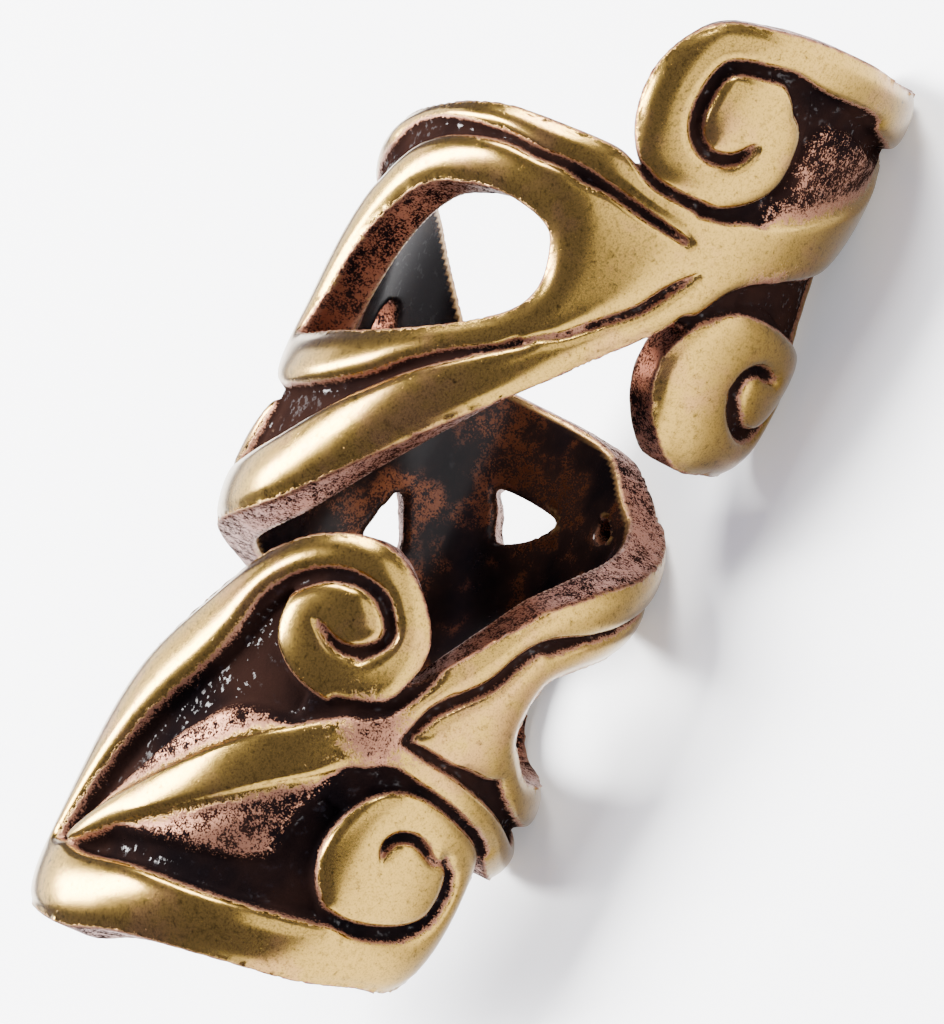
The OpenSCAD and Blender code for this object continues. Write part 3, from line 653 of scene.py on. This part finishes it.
def addMesh(name, points, faces, marks):  # one smooth mesh with its place in it, and a value per point for a mark
    mesh = bpy.data.meshes.new(name)
    mesh.from_pydata(points.tolist(), [], faces.tolist())
    for key, values in marks.items():
        layer = mesh.attributes.new(key, "FLOAT", "POINT")
        layer.data.foreach_set("value", values.astype(np.float32))
    mesh.shade_smooth()
    piece = bpy.data.objects.new(name, mesh)
    bpy.context.scene.collection.objects.link(piece)
    return piece


def makeBead():  # the net on the skin, laid down; edgeFace and boreFace grow where that bound is the nearest
    angle, height, level, faces = wrapWall()
    print("skin wrapped", len(angle), "points", len(faces), "faces")
    angle, height, level = settled(angle, height, level)
    outer = sampled(levelMap, angle, height) - level
    inner = level + beadWall["wall"]
    edge = sampled(metalMap, angle, height)
    border = skin["markBorder"]
    marks = {
        "high": sampled(highMap, angle, height),
        "flank": sampled(flankMap, angle, height),
        "edgeFace": smooth(0.0, border, np.minimum(outer, inner) - edge),
        "boreFace": smooth(0.0, border, np.minimum(outer, edge) - inner),
    }
    return addMesh("openwork-bead", laidDown(onWall(angle, height, level)), faces, marks)


bead = makeBead()
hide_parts("bead")
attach(bead, "root")
print("bead made")


class Socket:  # a node's output that adds Math nodes when it is worked with
    def __init__(self, tree, link):
        self.tree, self.link = tree, link

    def math(self, operation, other, swap=False):  # this value and another through one Math node
        inputs = [other, self] if swap else [self, other]
        return addNode(self.tree, "ShaderNodeMath", {"operation": operation}, dict(enumerate(inputs)))

    def __add__(self, other): return self.math("ADD", other)
    def __radd__(self, other): return self.math("ADD", other)
    def __sub__(self, other): return self.math("SUBTRACT", other)
    def __rsub__(self, other): return self.math("SUBTRACT", other, swap=True)
    def __mul__(self, other): return self.math("MULTIPLY", other)
    def __rmul__(self, other): return self.math("MULTIPLY", other)
    def most(self, other): return self.math("MAXIMUM", other)
    def least(self, other): return self.math("MINIMUM", other)

    def ramp(self, start, end):  # 0 at start, 1 at end, smooth between
        return addNode(
            self.tree, "ShaderNodeMapRange", {"interpolation_type": "SMOOTHSTEP"},
            {"Value": self, "From Min": start, "From Max": end, "To Min": 0.0, "To Max": 1.0})


def addNode(tree, kind, settings, sockets, output=0):  # settings first, then each socket's value or link
    node = tree.nodes.new(kind)
    for key, value in settings.items():
        setattr(node, key, value)
    for key, value in sockets.items():
        if isinstance(value, Socket):
            tree.links.new(value.link, node.inputs[key])
        else:
            node.inputs[key].default_value = value
    return Socket(tree, node.outputs[output]) if node.outputs else None


def blend(tree, factor, first, second):  # colours mixed by a mask: first where it is 0, second where it is 1
    first = first if isinstance(first, Socket) else (*first, 1)
    second = second if isinstance(second, Socket) else (*second, 1)
    return addNode(tree, "ShaderNodeMix", {"data_type": "RGBA"}, {0: factor, 6: first, 7: second}, 2)


def noise(tree, where, scale, detail, roughness):  # cloudy noise from 0 to 1, fixed to the piece
    sockets = {"Vector": where, "Scale": scale, "Detail": detail, "Roughness": roughness}
    return addNode(tree, "ShaderNodeTexNoise", {}, sockets)


def swayed(start, noises, shares):  # start plus each noise's part over or under its middle, times its share
    for key, share in shares.items():
        start = start + (noises[key] - 0.5) * share
    return start


# The finish. A noise is its scale per metre, detail and roughness. Shares say how much each noise sways a mask.
# A ramp is 0 at its first value and 1 at its second, and held is what is taken off a mask. The polish darkens
# where a noise is over a pit's first value, by the rest times its second.
brass = {
    "colours": {
        "polished": (0.3, 0.186, 0.04), "rosy": (0.31, 0.175, 0.056), "copper": (0.27, 0.125, 0.075),
        "rust": (0.165, 0.056, 0.029), "patina": (0.003, 0.0021, 0.0024), "brown": (0.013, 0.006, 0.0045),
        "boreCopper": (0.1, 0.031, 0.012)},
    "noises": {
        "coarse": (260, 3.0, 0.55), "grain": (1500, 4.0, 0.55), "speck": (4500, 3.0, 0.6),
        "dust": (15000, 2.0, 0.7)},
    "shares": {
        "border": {"grain": 0.45, "speck": 0.55, "dust": 0.55}, "fringe": {"dust": 0.5},
        "specks": {"coarse": 0.8, "grain": 1.1, "speck": 1.2, "dust": 2.2},
        "boreRub": {"grain": 0.3}, "rosy": {"grain": 0.4}, "glint": {"speck": 2.0, "grain": 1.0}},
    "ramps": {
        "polish": (0.6, 0.82), "fringe": (0.36, 0.6), "flank": (0, 0.4), "rub": (0.42, 0.6), "bore": (0.5, 0.7),
        "boreRub": (0.5, 0.62), "brown": (0.35, 0.65), "rosy": (0.52, 0.7), "glint": (0.68, 0.84)},
    "held": {"edge": 0.9, "flank": 0.03, "flankBorder": 0.4, "bore": 0.02},
    "pits": {"dust": (0.48, 2.2), "speck": (0.55, 2.5)},
    "rough": {"patina": 0.36, "polish": 0.15, "grain": 0.1, "copper": 0.12},
    "glint": {"patina": 0.3, "bore": 0.2, "roughness": 0.2, "bend": 1.5},
    "bump": {"grain": 0.4, "speck": 0.4, "dust": 0.2, "polish": 0.88, "strength": 0.6, "distance": 0.00006},
}


def antiquedBrass():  # patina, then copper mixed in by its mask, then polished brass mixed in by its own
    material = bpy.data.materials.new("antiqued-brass")
    material.use_nodes = True
    tree = material.node_tree
    tree.nodes.clear()
    colours, shares, ramps, held = brass["colours"], brass["shares"], brass["ramps"], brass["held"]
    where = addNode(tree, "ShaderNodeTexCoord", {}, {}, "Object")
    noises = {key: noise(tree, where, *values) for key, values in brass["noises"].items()}
    coarse, grain, speck, dust = noises.values()
    high, onFlank, onEdge, inBore = (
        addNode(tree, "ShaderNodeAttribute", {"attribute_name": key}, {}, "Fac")
        for key in ("high", "flank", "edgeFace", "boreFace"))
    # how far the polish reaches: the ridges' tops, with a ragged border and a copper fringe
    ragged = swayed(high, noises, shares["border"])
    polished = ragged.ramp(*ramps["polish"]) * (1 - onEdge * held["edge"]) * (1 - inBore)
    fringe = swayed(ragged, noises, shares["fringe"]).ramp(*ramps["fringe"]) * (1 - onEdge) * (1 - inBore)
    # copper shows in specks where hands rub: on the ribs' flanks and the band's edges
    specks = swayed(0.0, noises, shares["specks"]) + 0.5
    flankRub = (specks - held["flank"] - (1 - onFlank) * held["flankBorder"]).ramp(*ramps["rub"])
    edgeRub = onEdge * specks.ramp(*ramps["rub"])
    rubbed = (onFlank.ramp(*ramps["flank"]) * flankRub).most(edgeRub) * (1 - inBore)
    borePatch = swayed(coarse, noises, shares["boreRub"]).ramp(*ramps["boreRub"])
    boreRub = (specks - held["bore"]).ramp(*ramps["bore"]) * borePatch * inBore
    copperMask = fringe.most(rubbed)
    base = blend(tree, coarse.ramp(*ramps["brown"]), colours["patina"], colours["brown"])
    copper = blend(tree, onEdge, colours["copper"], colours["rust"])
    base = blend(tree, copperMask.least(1.0), base, copper)
    base = blend(tree, boreRub, base, colours["boreCopper"])
    # the polish: brass with rosy patches, darker in fine pits
    rosy = swayed(coarse, noises, shares["rosy"]).ramp(*ramps["rosy"])
    tint = blend(tree, rosy, colours["polished"], colours["rosy"])
    worn = 1.0
    for key, (start, depth) in brass["pits"].items():
        worn = worn - (noises[key] - start).most(0.0) * depth
    tint = addNode(tree, "ShaderNodeVectorMath", {"operation": "SCALE"}, {0: tint, "Scale": worn})
    base = blend(tree, polished, base, tint)
    rough = brass["rough"]["patina"] - polished * brass["rough"]["polish"]
    rough = swayed(rough, noises, {"grain": brass["rough"]["grain"]})
    rough = rough + copperMask * (1 - polished) * brass["rough"]["copper"]
    # the patina glints in specks, and the bore shines a little all over
    glint = (swayed(0.0, noises, shares["glint"]) + 0.5).ramp(*ramps["glint"])
    glint = glint * (1 - polished) * (1 - copperMask) * brass["glint"]["patina"]
    glint = glint.most(inBore * brass["glint"]["bore"])
    bump = brass["bump"]
    height = grain * bump["grain"] + speck * bump["speck"] + dust * bump["dust"]
    normal = addNode(tree, "ShaderNodeBump", {}, {
        "Height": height * (1 - polished * bump["polish"]),
        "Strength": bump["strength"], "Distance": bump["distance"]})
    shader = addNode(tree, "ShaderNodeBsdfPrincipled", {}, {
        "Base Color": base, "Roughness": rough, "Metallic": (polished + copperMask + boreRub).least(1.0),
        "Specular IOR Level": 0.0, "Coat Weight": glint, "Coat Roughness": brass["glint"]["roughness"],
        "Coat IOR": brass["glint"]["bend"], "Normal": normal})
    addNode(tree, "ShaderNodeOutputMaterial", {}, {"Surface": shader})
    return material


bead.data.materials.append(antiquedBrass())
print("bead finished")

# The stage: a pale floor, soft light boxes and an even sky. Lights stand right, up and back of the picture's
# centre, in mm.
stage = {"floorSize": 3.0, "floorColour": (0.9, 0.9, 0.9), "floorRough": 0.9, "floorGlow": 0.25,
         "skyColour": (1.02, 1.0, 1.6), "skyStrength": 0.38}
lights = {
    "leftBox": {"place": (-330, 80, 10), "size": (90, 260), "watts": 8.0},
    "topBox": {"place": (-80, 320, 90), "size": (220, 80), "watts": 3.2},
    "frontBox": {"place": (285, 60, 480), "size": (530, 700), "watts": 4.0},
    "backBox": {"place": (-400, 100, -250), "size": (300, 300), "watts": 1.3},
}


def addFloor():  # a level square about the origin at height 0, which glows a little so that it stays pale
    half = stage["floorSize"] / 2
    corners = [(-half, -half, 0), (half, -half, 0), (half, half, 0), (-half, half, 0)]
    mesh = bpy.data.meshes.new("floor")
    mesh.from_pydata(corners, [], [(0, 1, 2, 3)])
    floor = bpy.data.objects.new("floor", mesh)
    bpy.context.scene.collection.objects.link(floor)
    paper = bpy.data.materials.new("paper")
    paper.use_nodes = True
    shader = paper.node_tree.nodes["Principled BSDF"]
    shader.inputs["Base Color"].default_value = (*stage["floorColour"], 1)
    shader.inputs["Roughness"].default_value = stage["floorRough"]
    shader.inputs["Emission Color"].default_value = (1, 1, 1, 1)
    shader.inputs["Emission Strength"].default_value = stage["floorGlow"]
    mesh.materials.append(paper)


def addLight(name, place, size, watts):  # a light box at its place, whose front faces the picture's centre
    lamp = bpy.data.lights.new(name, "AREA")
    lamp.shape = "RECTANGLE"
    lamp.size, lamp.size_y = size[0] / 1000, size[1] / 1000
    lamp.energy = watts
    light = bpy.data.objects.new(name, lamp)
    bpy.context.scene.collection.objects.link(light)
    here, target = fromView(place), fromView((0, 0, 0))
    back = (here - target) / np.linalg.norm(here - target)
    side = np.cross([0, 0, 1], back)
    side /= np.linalg.norm(side)
    pose = np.eye(4)
    pose[:3, 0], pose[:3, 1], pose[:3, 2], pose[:3, 3] = side, np.cross(back, side), back, here
    light.matrix_world = Matrix(pose.tolist())


def addSky():  # the same light from every side
    sky = bpy.data.worlds.new("sky")
    sky.use_nodes = True
    background = sky.node_tree.nodes["Background"]
    background.inputs["Color"].default_value = (*stage["skyColour"], 1)
    background.inputs["Strength"].default_value = stage["skyStrength"]
    bpy.context.scene.world = sky


addFloor()
for name, light in lights.items():
    addLight(name, **light)
addSky()
print("stage set")
